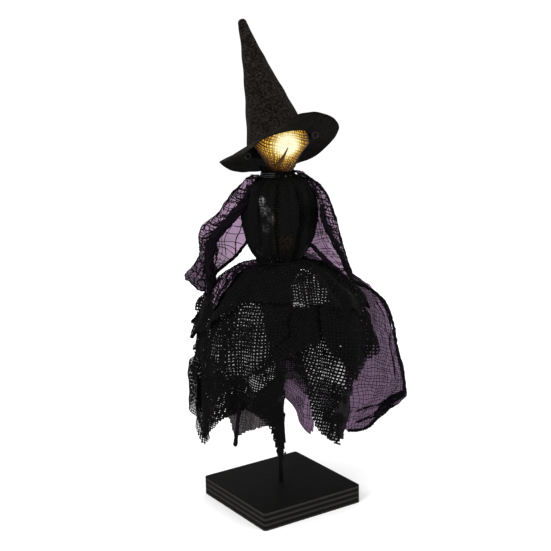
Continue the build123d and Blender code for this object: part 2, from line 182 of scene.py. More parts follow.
def strands(surface, depth, reach, pitch, width, turn=0.0, wander=0.04, over=0.3, fray=5.0, lost=0.0,
            seed=1, tube=False, centre=(0.0, 0.0), step=0.5, uneven=0.07):
    """The threads of a weave as real ribbons.
    surface(a, b) places flat cloth coordinates, depth(a, b) is the distance inside the cloth's cut edge."""
    r = np.random.default_rng(seed)
    parts = []
    count = int(reach / pitch)
    turn = math.radians(turn)
    for direction in (0, 1):
        angle = turn + direction * math.pi / 2
        along = np.array([-math.sin(angle), math.cos(angle)])
        side = np.array([math.cos(angle), math.sin(angle)])
        k = np.arange(-count, count + 1)
        t = np.arange(-count / step, count / step + 1) * step
        shift = k[:, None] * pitch + r.normal(0, wander * 0.5 * pitch, (len(k), 1))
        base = np.stack(np.broadcast_arrays(shift, t[None, :] * pitch), -1)
        drift = waves(np.concatenate([base, np.full(base.shape[:2] + (1,), 40.0 * direction)], -1),
                      pitch * 5, seed + 3 + direction)
        drift = shift + wander * pitch * drift
        a = centre[0] + side[0] * drift + along[0] * t[None, :] * pitch
        b = centre[1] + side[1] * drift + along[1] * t[None, :] * pitch
        margin = r.uniform(-0.6 * fray, fray, (len(k), 1)) * r.uniform(0, 1, (len(k), 1))
        keep = depth(a, b) > -margin
        keep &= r.uniform(0, 1, keep.shape) > lost * 0.2
        rows = keep.any(1)
        a, b, keep, kk = a[rows], b[rows], keep[rows], k[rows]
        p = surface(a, b)
        q = surface(a + side[0] * 0.3, b + side[1] * 0.3) - surface(a - side[0] * 0.3, b - side[1] * 0.3)
        across = unit(q)
        tangent = unit(np.gradient(p, axis=1))
        normal = unit(np.cross(across, tangent))
        across = unit(np.cross(tangent, normal))
        sign = (1 if direction == 0 else -1)
        lift = sign * over * np.cos(math.pi * t[None, :]) * np.where(kk[:, None] % 2 == 0, 1, -1)
        p = p + normal * lift[..., None]
        thick = width * (1 + uneven * (r.normal(size=(len(kk), 1)) + 0.8 * np.sin(t[None, :] * 1.9 + 9.0 * kk[:, None])))
        half = 0.5 * np.clip(thick, 0.4 * width, 1.6 * width)[..., None]
        if tube:
            ring = [p - across * half, p + normal * half, p + across * half, p - normal * half]
        else:
            ring = [p - across * half, p + normal * half * 0.42, p + across * half]
        verts = np.stack(ring, 2)
        n, m, c = verts.shape[:3]
        number = np.arange(n * m * c).reshape(n, m, c)
        ok = keep[:, :-1] & keep[:, 1:]
        strips = []
        for j in range(c if tube else c - 1):
            j2 = (j + 1) % c
            quad = np.stack([number[:, :-1, j], number[:, :-1, j2], number[:, 1:, j2], number[:, 1:, j]], -1)
            strips.append(quad[ok])
        parts.append(tidy_mesh(verts.reshape(-1, 3), np.concatenate(strips)))
    return joined(parts)


def cloth_grid(surface, poly, spacing):
    """A plain mesh over a flat polygon: the grid squares whose corners lie inside or just outside its outline."""
    p = np.array(poly, float)
    lo, hi = p.min(0), p.max(0)
    n = np.maximum(2, np.ceil((hi - lo) / spacing).astype(int) + 1)
    b, a = np.meshgrid(np.linspace(lo[1], hi[1], n[1]), np.linspace(lo[0], hi[0], n[0]), indexing="ij")
    keep = edge_distance(poly, a, b) > -0.35 * spacing
    verts = surface(a, b).reshape(-1, 3)
    return tidy_mesh(verts, grid_faces(n[1], n[0], keep))


# -------- materials
class Look:
    """A material: one principled shader fed from nodes in the piece's own coordinates."""

    def __init__(self, name):
        self.made = bpy.data.materials.new(name)
        self.made.use_nodes = True
        self.nodes, self.links = self.made.node_tree.nodes, self.made.node_tree.links
        self.nodes.clear()
        out = self.nodes.new("ShaderNodeOutputMaterial")
        self.shader = self.nodes.new("ShaderNodeBsdfPrincipled")
        self.links.new(self.shader.outputs[0], out.inputs[0])
        self.where = self.nodes.new("ShaderNodeTexCoord").outputs["Object"]

    def fill(self, node, inputs):
        """Each input is a constant or the output socket that feeds it."""
        for socket, value in inputs.items():
            if isinstance(value, bpy.types.NodeSocket):
                self.links.new(value, node.inputs[socket])
            else:
                node.inputs[socket].default_value = value

    def add(self, kind, inputs, operation=None):
        node = self.nodes.new("ShaderNode" + kind)
        if operation:
            node.operation = operation
        self.fill(node, inputs)
        return node

    def noise(self, scale, detail=4.0, rough=0.6, stretch=None):
        where = self.where
        if stretch:
            where = self.add("Mapping", {"Scale": stretch, "Vector": where}).outputs[0]
        return self.add("TexNoise", {"Scale": scale, "Detail": detail, "Roughness": rough,
                                     "Vector": where}).outputs["Fac"]

    def ramp(self, value, stops):
        node = self.add("ValToRGB", {0: value})
        marks = node.color_ramp.elements
        while len(marks) < len(stops):
            marks.new(0.5)
        for mark, (place, colour) in zip(marks, stops):
            mark.position = place
            mark.color = tuple(colour) + (1.0,)
        return node.outputs[0]

    def mix(self, share, first, second, blend="MIX"):
        node = self.nodes.new("ShaderNodeMix")
        node.data_type = "RGBA"
        node.blend_type = blend
        self.fill(node, {0: share, 6: first, 7: second})
        return node.outputs[2]

    def finish(self, height, strength, distance, **values):
        """Sets the shader's sockets, written with _ for a space, and bumps its surface."""
        bumped = self.add("Bump", {"Strength": strength, "Distance": distance, "Height": height})
        self.fill(self.shader, {key.replace("_", " "): value for key, value in values.items()})
        self.fill(self.shader, {"Normal": bumped.outputs[0]})
        return self.made


def fibre(name, dark, light, tint=(0.5, 0.5, 0.5), painted_light=()):
    """Dull spun thread: fine streaks along and across, loose hairs in a soft sheen.
    The last argument lists places (centre in mm, reach in mm, colour) where painted highlights, painted glow or painted
    shade are speckled onto the thread."""
    look = Look(name)
    fine = look.noise(1400.0, 5.0, 0.7)
    colour = look.ramp(fine, [(0.3, dark), (0.75, light)])
    for centre, reach, pale in painted_light:
        away = look.add("VectorMath", {1: tuple(c * MM for c in centre), 0: look.where}, "DISTANCE")
        near = look.add("MapRange", {"From Min": reach * MM, "From Max": reach * 0.4 * MM,
                                     "Value": away.outputs["Value"]})
        near.interpolation_type = "SMOOTHSTEP"
        speck = look.noise(620.0, 2.0, 0.5)
        specked = look.ramp(speck, [(0.46, tuple(0.12 * c for c in pale)), (0.62, pale)])
        colour = look.mix(near.outputs[0], colour, specked)
    return look.finish(fine, 0.5, 0.0002, Base_Color=colour, Roughness=0.85, Specular_IOR_Level=0.03,
                       Sheen_Weight=0.012, Sheen_Roughness=0.5, Sheen_Tint=tint + (1.0,))


def felt(name, dark, fleck, amount=0.5, sheen=0.02):
    """Pressed felt: mottled, with pale flecks and a rough matted surface."""
    look = Look(name)
    speck = look.noise(520.0, 3.0, 0.7)
    cloud = look.noise(170.0, 4.0, 0.75)
    middle = tuple(d * 0.6 + f * 0.4 for d, f in zip(dark, fleck))
    colour = look.ramp(speck, [(0.40, dark), (0.52, middle), (0.66 - 0.1 * amount, fleck)])
    mottle = look.ramp(cloud, [(0.38, (0.35, 0.33, 0.32)), (0.62, (1.5, 1.42, 1.36))])
    colour = look.mix(0.8, colour, mottle, "MULTIPLY")
    return look.finish(cloud, 0.9, 0.0016, Base_Color=colour, Roughness=0.95, Specular_IOR_Level=0.03,
                       Sheen_Weight=sheen, Sheen_Roughness=0.6)


def sheer(name, colour, shade, alpha):
    """Thin translucent cloth with a fine crinkle."""
    look = Look(name)
    crinkle = look.noise(260.0, 5.0, 0.7)
    return look.finish(crinkle, 0.35, 0.0006, Base_Color=look.ramp(crinkle, [(0.25, shade), (0.7, colour)]),
                       Roughness=0.7, Specular_IOR_Level=0.1, Sheen_Weight=0.05, Alpha=alpha)


def plastic(name, colour, rough=0.5, shine=0.3):
    look = Look(name)
    spark = look.noise(1800.0, 2.0, 0.5)
    pale = tuple(min(1.0, c * 1.25 + 0.004) for c in colour)
    return look.finish(spark, 0.3, 0.00005, Base_Color=look.ramp(spark, [(0.3, colour), (0.8, pale)]),
                       Roughness=rough, Specular_IOR_Level=shine)


def metal(name, colour, rough=0.3):
    look = Look(name)
    streak = look.noise(500.0, 3.0, 0.6, (1.0, 1.0, 12.0))
    pale = tuple(min(1.0, c * 1.15) for c in colour)
    return look.finish(streak, 0.15, 0.00004, Base_Color=look.ramp(streak, [(0.3, colour), (0.8, pale)]),
                       Metallic=1.0, Roughness=rough)


def plywood(name):
    """Black stained plywood: open grain on the top, layered veneers on the edges."""
    look = Look(name)
    height = look.add("SeparateXYZ", {0: look.where}).outputs["Z"]
    grain = look.noise(240.0, 5.0, 0.65, (0.2, 1.0, 1.0))
    bands = look.add("Math", {0: height, 1: 2 * math.pi / VENEER_PITCH, 2: 0.9}, "MULTIPLY_ADD").outputs[0]
    wave = look.add("Math", {0: bands}, "SINE").outputs[0]
    ply = look.ramp(wave, [(0.0, (0.004, 0.004, 0.0035)), (0.35, (0.013, 0.0125, 0.0115)),
                           (0.8, (0.022, 0.021, 0.0195))])
    normal = look.add("NewGeometry", {}).outputs["Normal"]
    up = look.add("SeparateXYZ", {0: normal}).outputs["Z"]
    top = look.ramp(grain, [(0.3, (0.0008, 0.0007, 0.0006)), (0.75, (0.0022, 0.0020, 0.0017))])
    level = look.add("Math", {0: up, 1: 0.7}, "GREATER_THAN").outputs[0]
    streak = look.ramp(grain, [(0.3, (0.6, 0.6, 0.6)), (0.7, (1.3, 1.3, 1.3))])
    colour = look.mix(0.5, look.mix(level, ply, top), streak, "MULTIPLY")
    return look.finish(grain, 0.35, 0.0003, Base_Color=colour, Roughness=0.7, Specular_IOR_Level=0.03)


def glow(name, at, near, reach, stops, strength):
    """Cloth lit from a lamp inside: brightest where it is nearest the lamp, browner further off."""
    look = Look(name)
    away = look.add("VectorMath", {0: look.where, 1: tuple(c * MM for c in at)}, "DISTANCE").outputs["Value"]
    fade = look.add("MapRange", {"From Min": near * MM, "From Max": reach * MM, "Value": away}).outputs[0]
    weave = look.noise(420.0, 4.0, 0.7)
    shifted = look.add("Math", {0: fade, 1: 0.11}, "SUBTRACT").outputs[0]
    uneven = look.add("Math", {0: weave, 1: 0.22, 2: shifted}, "MULTIPLY_ADD").outputs[0]
    colour = look.ramp(uneven, stops)
    dim = look.add("VectorMath", {0: colour, "Scale": 0.12}, "SCALE").outputs[0]
    return look.finish(weave, 0.6, 0.0004, Base_Color=dim, Emission_Color=colour, Emission_Strength=strength,
                       Roughness=0.9)


VENEER_PITCH = 0.0052
BURLAP = fibre("burlap_black", (0.0006, 0.0005, 0.0006), (0.0058, 0.0053, 0.0055))
# The bodice burlap is speckled with painted light: painted highlights down the pleat left of centre, a painted warm
# glow from the head's lamp low in front, and painted shade over its right side in the view.
BURLAP_TOP = fibre("burlap_bodice", (0.0008, 0.0008, 0.0008), (0.0066, 0.0066, 0.0064), painted_light=[
    ((-12, -33, 300), 6.0, (0.19, 0.185, 0.185)), ((-8, -34, 291), 6.5, (0.10, 0.097, 0.097)),
    ((-2, -35, 283), 6.5, (0.08, 0.08, 0.08)), ((-8, -34, 274), 7.0, (0.035, 0.035, 0.035)),
    ((11, -34, 260), 12.0, (0.0140, 0.0095, 0.0060)), ((36, -20, 284), 20.0, (0.0020, 0.0020, 0.0020))])
NET = fibre("crackle_net", (0.0014, 0.0010, 0.0016), (0.0070, 0.0050, 0.0080), tint=(0.5, 0.4, 0.55))
LILAC = sheer("lilac_voile", (0.80, 0.47, 0.79), (0.60, 0.34, 0.60), 0.93)
# A brighter copy of the lilac voile: painted light for the back of the right sleeve, which sits in shade behind the
# torso.
LILAC_PAINTED_LIGHT = sheer("lilac_voile_painted_light", (0.90, 0.62, 0.90), (0.66, 0.42, 0.66), 0.97)
MAUVE = sheer("mauve_voile", (0.27, 0.18, 0.26), (0.165, 0.10, 0.165), 0.93)
PLUM = sheer("plum_voile", (0.32, 0.19, 0.33), (0.20, 0.115, 0.21), 0.985)
DUSK = sheer("dusk_voile", (0.095, 0.06, 0.095), (0.055, 0.033, 0.055), 0.97)
SMOKE = sheer("smoke_voile", (0.006, 0.0055, 0.006), (0.003, 0.0026, 0.003), 0.62)
ASH = sheer("ash_voile", (0.062, 0.053, 0.058), (0.030, 0.025, 0.028), 0.985)
COAL = sheer("coal_cloth", (0.0085, 0.0075, 0.008), (0.004, 0.0035, 0.004), 1.0)
FELT = felt("hat_felt", (0.0012, 0.0010, 0.0009), (0.0165, 0.0136, 0.0118), sheen=0.008)
# A darker copy of the hat felt for the brim's underside: painted shade under the brim.
FELT_SHADED_UNDER = felt("hat_felt_painted_shade", (0.0011, 0.0009, 0.0008), (0.0040, 0.0032, 0.0024), 0.2, 0.006)
PLY = plywood("black_plywood")
PAINT = plastic("black_paint", (0.0010, 0.0008, 0.0009), 0.45, shine=0.05)
STEEL = metal("plain_steel", (0.5, 0.5, 0.51))
DULL = metal("dull_wire", (0.022, 0.022, 0.023), 0.35)
BRASS = metal("turned_brass", (0.62, 0.45, 0.2))
# Housing plastic whose brown is partly its own tone and partly painted warm glow from the head's lamp falling on it.
HOUSING_PAINTED_GLOW = plastic("housing_plastic_painted_glow", (0.022, 0.0145, 0.009), 0.55, shine=0.1)
ACETAL = plastic("acetal", (0.62, 0.6, 0.55), 0.45)
WRAP = plastic("cell_wrap", (0.02, 0.02, 0.03), 0.25)
MASK = plastic("solder_mask", (0.01, 0.07, 0.025), 0.35)
CHIP = plastic("chip_case", (0.012, 0.012, 0.012), 0.6)
KNOB = plastic("knob_plastic", (0.12, 0.12, 0.13), 0.5)
LAMP = glow("lamp_dome", (6, -6, 344), 0, 20, [(0.0, (1.0, 0.9, 0.7)), (1.0, (1.0, 0.75, 0.4))], 6.0)
BAND = plastic("collar_wire", (0.02, 0.021, 0.022), 0.18)

CAD_LOOKS = [
    (PLY, ["base_board"]), (PAINT, ["pole"]), (BRASS, ["motor_pinion", "thrust_washer"]), (WRAP, ["battery_cells"]),
    (STEEL, ["pole_screw", "screw_washer", "pole_collar", "housing_screws", "idler_pin", "gear_motor",
             "battery_contacts", "battery_springs", "neck_pin"]),
    (ACETAL, ["fixed_gear", "idler_gear", "lower_bush"]),
    (HOUSING_PAINTED_GLOW, ["housing_front", "housing_rear", "gear_plate", "battery_cover", "neck_tube", "head_stem"]),
    (MASK, ["circuit_board"]), (CHIP, ["board_parts", "switch_body"]), (KNOB, ["switch_knob"]), (LAMP, ["lamp"]),
    (BURLAP, ["head_tie", "waist_tie"]), (DULL, ["ear_rings"]), (BAND, ["collar_band"])]
for look, names in CAD_LOOKS:
    for name in names:
        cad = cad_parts[name].data
        cad.materials.clear()
        cad.materials.append(look)


def dress(piece, body, node=None):
    """Puts a piece on the body it moves with and hides the plain CAD solid it stands for."""
    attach(piece, body)
    if node:
        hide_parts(node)


# -------- skirt
BODY_X = 5.0
BELL = curve([(19, 238), (34, 232), (46.5, 224), (57, 213.5), (65, 202), (71.5, 189), (76, 174), (79, 156),
              (80, 134), (79.5, 110), (78, 86), (76, 62), (75, 38)])
BELL_LINE = BELL(np.linspace(0, 1, 400))
BELL_RUN = np.concatenate([[0], np.cumsum(np.linalg.norm(np.diff(BELL_LINE, axis=0), axis=1))])


def bell(theta, run, out=0.0, flare=0.0, fold=1.0):
    """A point of the skirt's bell: theta from +X, run = distance down from the waist, out = standing proud."""
    run = np.clip(run, 0, BELL_RUN[-1])
    r = np.interp(run, BELL_RUN, BELL_LINE[:, 0])
    z = np.interp(run, BELL_RUN, BELL_LINE[:, 1])
    deep = np.clip(run / 200.0, 0, 1)
    r = r * (1 + flare * deep ** 2) + out
    r = r + fold * (1.2 + 9.0 * deep) * (0.42 * np.sin(7 * theta + 0.8) + 0.33 * np.sin(11 * theta + 2.1 + 1.2 * deep)
                                         + 0.25 * np.sin(17 * theta + 4.0 - 2.0 * deep))
    x = BODY_X + r * np.cos(theta) * 1.03
    y = r * np.sin(theta) * 0.93
    return np.stack([x, y, z + 0 * r], -1)


def panel_surface(middle, out, flare, amount, seed, fold=1.0):
    """Flat cloth coordinates (a across, b down from the waist, mm) onto the bell."""
    middle = math.radians(middle)

    def at(a, b):
        r = np.interp(np.clip(b, 0, 230), BELL_RUN, BELL_LINE[:, 0])
        return bell(middle + a / np.maximum(r, 24), b, out, flare, fold)
    return crumpled(at, amount, 34.0, seed, 0.35 * amount)


def flat_frame(outline, margin):
    """Middle of a flat outline, and the reach of threads that cover it, mm."""
    pts = np.array(outline, float)
    return (pts.min(0) + pts.max(0)) / 2, np.linalg.norm(np.ptp(pts, axis=0)) / 2 + margin


def burlap_panel(name, middle, out, outline, turn=0.0, flare=0.0, amount=1.6, fold=1.0, seed=1, wide=1.86,
                 pitch=3.0, fray=0.7, node=None):
    """A skirt panel of burlap, cut to a flat outline and laid on the bell round a middle angle."""
    surface = panel_surface(middle, out, flare, amount, seed, fold)
    centre, reach = flat_frame(outline, 8)
    weave = strands(surface, inside(outline), reach, pitch, wide, turn, seed=seed, centre=centre, fray=fray)
    panel = add_mesh(name, *weave, BURLAP)
    dress(panel, "figure", node)


burlap_panel("skirt_over_left", -130, 1.0, [
    (-98, 30), (-104, 84), (-84, 104), (-60, 110), (-40, 118), (-24, 137), (-14, 142), (2, 134), (18, 132),
    (30, 113), (36, 106), (44, 98), (52, 91), (61, 76), (62, 62), (50, 53), (38, 30)], seed=24, turn=-5.0, amount=1.0,
    node="over_skirt_left")
burlap_panel("skirt_under_left", -120, -3.0, [
    (-98, 88), (-99, 118), (-95, 142), (-86, 168), (-78, 160), (-72, 178), (-61, 201), (-46, 187), (-32, 178),
    (-17, 162), (-8, 157), (2, 150), (12, 149), (18, 151), (24, 157), (29, 166), (33, 190), (36, 200), (40, 190),
    (42, 142), (44, 102), (60, 66), (46, 78), (26, 100), (10, 116), (-14, 124), (-36, 102), (-60, 92)],
    flare=0.09, seed=21, turn=9.0, wide=1.46, pitch=2.25, node="under_skirt_left")
burlap_panel("skirt_fold_left", -125, -1.4, [
    (-38, 50), (-2, 50), (-2, 78), (-8, 86), (-6, 114), (8, 122), (26, 132), (44, 112), (50, 110), (48, 134),
    (46, 158), (46, 178), (43, 193), (40, 194), (38, 174), (36, 162), (30, 152), (14, 150), (-8, 160), (-46, 182),
    (-56, 197), (-66, 178), (-72, 164), (-84, 140), (-30, 130), (-14, 118), (-12, 84), (-34, 82), (-42, 64)],
    flare=0.04, seed=35, turn=27.0, wide=1.46, pitch=2.25)
burlap_panel("skirt_under_right", -62, -3.0, [
    (-26, 74), (-28, 92), (-30, 106), (-27, 115), (-20, 124), (-14, 154), (-10, 168), (-2, 178), (16, 191),
    (19, 172), (22, 156), (21, 145), (36, 139), (52, 130), (56, 110), (48, 76), (10, 70)], turn=21.0, seed=22,
    wide=1.9, node="under_skirt_right")
burlap_panel("skirt_lobe_tip", -60, -5.0, [
    (2, 140), (-2, 152), (0, 166), (14, 184), (16, 168), (19, 150), (18, 134), (10, 130)], turn=-14.0, seed=36,
    wide=1.4, pitch=2.25)
burlap_panel("skirt_under_back", 100, -3.5, [
    (-82, 100), (-78, 140), (-70, 166), (-56, 154), (-40, 182), (-20, 165), (0, 176), (22, 160), (48, 186),
    (66, 164), (88, 176), (98, 140), (96, 96), (40, 110), (0, 104), (-50, 106)], seed=23, turn=-6.0,
    wide=0.78, pitch=2.0, node="under_skirt_back")
burlap_panel("skirt_over_right", -35, 2.5, [
    (-28, 57), (-22, 54), (4, 40), (44, 36), (58, 60), (58, 102), (52, 112), (40, 117), (28, 120), (10, 121),
    (0, 122), (-12, 124), (-14, 128), (-18, 122), (-20, 118), (-24, 110), (-30, 102), (-34, 92), (-38, 82),
    (-34, 68)], turn=14.0, flare=0.06, seed=25, wide=1.9, node="over_skirt_right")
burlap_panel("skirt_fold_right", -38, 0.0, [
    (-20, 58), (30, 62), (42, 80), (50, 104), (34, 119), (-8, 122), (-16, 112), (-26, 96), (-32, 84)], turn=-20.0,
    flare=0.03, seed=37, wide=1.9)
burlap_panel("skirt_over_back", 95, 0.5, [
    (-90, 30), (-88, 96), (-72, 112), (-45, 112), (-10, 130), (20, 118), (50, 130), (80, 112), (96, 96), (88, 30)],
    seed=26, turn=8.0, wide=0.78, pitch=2.0, node="over_skirt_back")
burlap_panel("skirt_corner_left", -172, 1.0, [
    (-24, 116), (-27, 138), (-16, 160), (0, 167), (17, 172), (24, 150), (22, 120)], turn=16.0, flare=0.14, seed=44,
    wide=1.46, pitch=2.25)
burlap_panel("skirt_ruffle", -66, 4.0, [
    (-16, 52), (8, 54), (24, 53), (60, 60), (56, 71), (42, 72), (20, 67), (9, 72), (4, 86), (-10, 92), (-20, 90),
    (-24, 68)], turn=31.0, amount=3.0, seed=27, wide=1.8)
burlap_panel("skirt_fold_middle", -105, 2.8, [
    (28, 70), (40, 92), (30, 96), (17, 101), (4, 113), (-6, 114), (8, 94), (24, 80)], turn=52.0, amount=2.4,
    seed=38, wide=1.85)

# The top tier is one square-cut layer with the waist hole in its middle, so its weave runs straight across.
TIER_HEM = [(-180, 84), (-166, 92), (-152, 82), (-137, 68), (-124, 50), (-100, 47), (-77, 50), (-60, 54),
            (-46, 60), (-32, 64), (-18, 74), (-6, 68), (12, 60), (30, 66), (55, 55), (80, 62), (100, 60),
            (122, 56), (145, 64), (165, 74), (180, 84)]


def tier_surface(a, b):
    run = np.hypot(a, b) - 20
    theta = np.arctan2(b, a)
    p = bell(theta, np.maximum(run, 0), 5.0, 0.12, 1.1)
    ripple = np.clip(run / 60, 0, 1) * (2.2 * np.sin(13 * theta + 1.0) + 1.4 * np.sin(23 * theta + 2.0))
    n = np.stack([np.cos(theta) * 0.7, np.sin(theta) * 0.7, 0.7 + 0 * theta], -1)
    return p + n * ripple[..., None]


def tier_depth(a, b):
    run = np.hypot(a, b) - 20
    theta = np.degrees(np.arctan2(b, a))
    hem = np.interp(theta, [t for t, s in TIER_HEM], [s for t, s in TIER_HEM])
    return np.minimum(hem - run, run)


verts, faces = strands(crumpled(tier_surface, 1.3, 26.0, 31, 0.5), tier_depth, 122, 3.0, 1.84, 12.0, seed=31, fray=1.6)
top_tier = add_mesh("skirt_top_tier_cloth", verts, faces, BURLAP)
dress(top_tier, "figure")

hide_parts("skirt_top_tier")


def veil(name, middle, out, outline, cloth, flare=0.0, seed=1, pitch=2.4):
    """A piece of sheer lining under the skirt, with its own fine net."""
    surface = panel_surface(middle, out, flare, 1.4, seed)
    centre, reach = flat_frame(outline, 6)
    sheet = add_mesh(name, *cloth_grid(surface, outline, 1.6), cloth)
    verts, faces = strands(surface, inside(outline), reach, pitch, 0.5, 12.0, 0.3, 0.1,
                           0.5, 0.04, seed + 5, True, centre)
    net = add_mesh(name + "_net", verts, faces, NET)
    for piece in (sheet, net):
        dress(piece, "figure")


veil("hem_lining", -110, -8.0, [(-33, 138), (-32, 160), (-28, 174), (-25, 181), (-14, 176), (10, 163), (16, 166),
                                (20, 142)], ASH, 0.05, 28)
veil("waist_lining", -130, -5.5, [(-120, 22), (-124, 66), (-60, 62), (-24, 52), (30, 52), (48, 50), (38, 34), (34, 22)],
     COAL, 0.0, 40)
veil("ruffle_lining", -66, -0.8, [(-15, 53), (8, 55), (24, 54), (52, 61), (50, 70), (42, 71), (20, 66), (8, 71), (3, 84),
                                 (-10, 90), (-18, 88), (-22, 68)], COAL, 0.0, 41)
veil("point_lining", -120, -4.4, [(-92, 142), (-85, 166), (-78, 158), (-71, 177), (-60, 199), (-46, 185), (-30, 175),
                                  (-26, 150), (-50, 140)], SMOKE, 0.09, 42)
veil("lobe_lining", -62, -4.4, [(-18, 128), (-13, 156), (-9, 168), (-2, 177), (15, 190), (20, 172), (24, 156), (24, 138),
                                (4, 124)], SMOKE, 0.0, 43)
veil("lobe_edge", -62, -2.0, [(22, 140), (22, 156), (19, 172), (16, 189), (12, 172), (8, 162), (14, 152), (16, 140)],
     COAL, 0.0, 45)
veil("pole_strip_cloth", -125, -2.4, [(48, 110), (48, 178), (44, 194), (41, 195), (39, 174), (37, 162),
                                      (31, 152), (18, 148), (24, 132)], COAL, 0.04, 39)
veil("skirt_lining", -98, -9.0, [
    (-140, 30), (-140, 130), (-100, 146), (-60, 144), (-16, 144), (6, 138), (10, 127), (18, 122), (24, 124),
    (34, 136), (44, 152), (58, 162), (70, 150), (96, 132), (120, 120), (130, 30)], SMOKE, 0.0, 29, 6.0)


# -------- torso bag
TORSO = curve([(12.2, 318.2), (14.2, 317.0), (21, 315.6), (28.5, 312.5), (32.5, 305), (34.9, 294), (35.3, 282),
               (33.5, 269), (30.5, 257), (26, 247.5), (20.6, 240.2), (21.5, 237.8)])
TORSO_LINE = TORSO(np.linspace(0, 1, 300))
TORSO_RUN = np.concatenate([[0], np.cumsum(np.linalg.norm(np.diff(TORSO_LINE, axis=0), axis=1))])
TORSO_WIDE = 262.0


TORSO_CREASES = [(-152, 3.0, 4.0), (-126, 4.6, 3.4), (-92, 4.2, 3.0), (-57, 4.0, 3.4), (-28, 3.0, 4.0), (-108, 1.6, 2.6),
                 (-72, 1.8, 2.6), (20, 3.5, 4.0), (62, 4.0, 4.0), (95, 3.5, 4.0), (130, 4.0, 4.0), (165, 3.5, 4.0)]


def torso_surface(a, b):
    theta = (a / TORSO_WIDE * 2 * math.pi + math.pi) % (2 * math.pi) - math.pi
    run = np.clip(b, 0, TORSO_RUN[-1])
    r = np.interp(run, TORSO_RUN, TORSO_LINE[:, 0])
    z = np.interp(run, TORSO_RUN, TORSO_LINE[:, 1])
    share = run / TORSO_RUN[-1]
    ends = 1 - np.sin(math.pi * np.clip(share, 0, 1)) ** 0.8
    sway = 0.25 * np.sin(5 * share + 2 * theta)
    pleat = (0.5 * np.sin(15 * theta + 1.0 + sway) + 0.32 * np.sin(22 * theta + 3.3 - sway)
             + 0.25 * np.sin(9 * theta + 0.4 + 2 * sway))
    # the corners of the housing hold the cloth out near the waist
    corner = np.exp(-((np.abs(theta) - 2.42) / 0.42) ** 2) * np.clip(share * 2.6 - 1.3, 0, 1)
    r = r + ((1.3 + 1.2 * ends) * pleat - 0.6) * (1 - corner) + 1.2 * corner
    for middle, deep, wide in TORSO_CREASES:
        bend = math.radians(middle) + 0.05 * np.sin(4 * share + middle)
        r = r - deep * np.exp(-((theta - bend) / math.radians(wide)) ** 2) * (1 - corner) * np.clip(6 * share, 0, 1)
    return np.stack([BODY_X + r * np.cos(theta), r * np.sin(theta), z + 0 * r], -1)


def torso_depth(a, b):
    return np.where(np.abs(a) <= TORSO_WIDE / 2, np.minimum(b, TORSO_RUN[-1] - b), -1.0)


verts, faces = strands(crumpled(torso_surface, 0.8, 22.0, 41, 0.3), torso_depth, 150, 2.7, 1.74, 0.0, seed=41,
                       centre=(0.0, TORSO_RUN[-1] / 2), fray=2.0)
torso = add_mesh("torso_burlap", verts, faces, BURLAP_TOP)
dress(torso, "figure", "torso_bag")

# A plain black lining behind the burlap, open down the front.
LINING_FROM, LINING_TO = -44.0 / 360 * TORSO_WIDE, 240.0 / 360 * TORSO_WIDE


def lining_surface(a, b):
    p = torso_surface(a, b)
    pull = np.clip(1.5 / np.maximum(np.hypot(p[..., 0] - BODY_X, p[..., 1]), 1.0), 0, 1)[..., None]
    return p + (np.array([BODY_X, 0.0, 0.0]) - p) * np.array([1.0, 1.0, 0.0]) * pull


lining_cut = [(LINING_FROM, 14), (LINING_TO, 14), (LINING_TO, TORSO_RUN[-1] - 3), (LINING_FROM, TORSO_RUN[-1] - 3)]
torso_lining = add_mesh("torso_lining", *cloth_grid(lining_surface, lining_cut, 1.7), COAL)
dress(torso_lining, "figure")


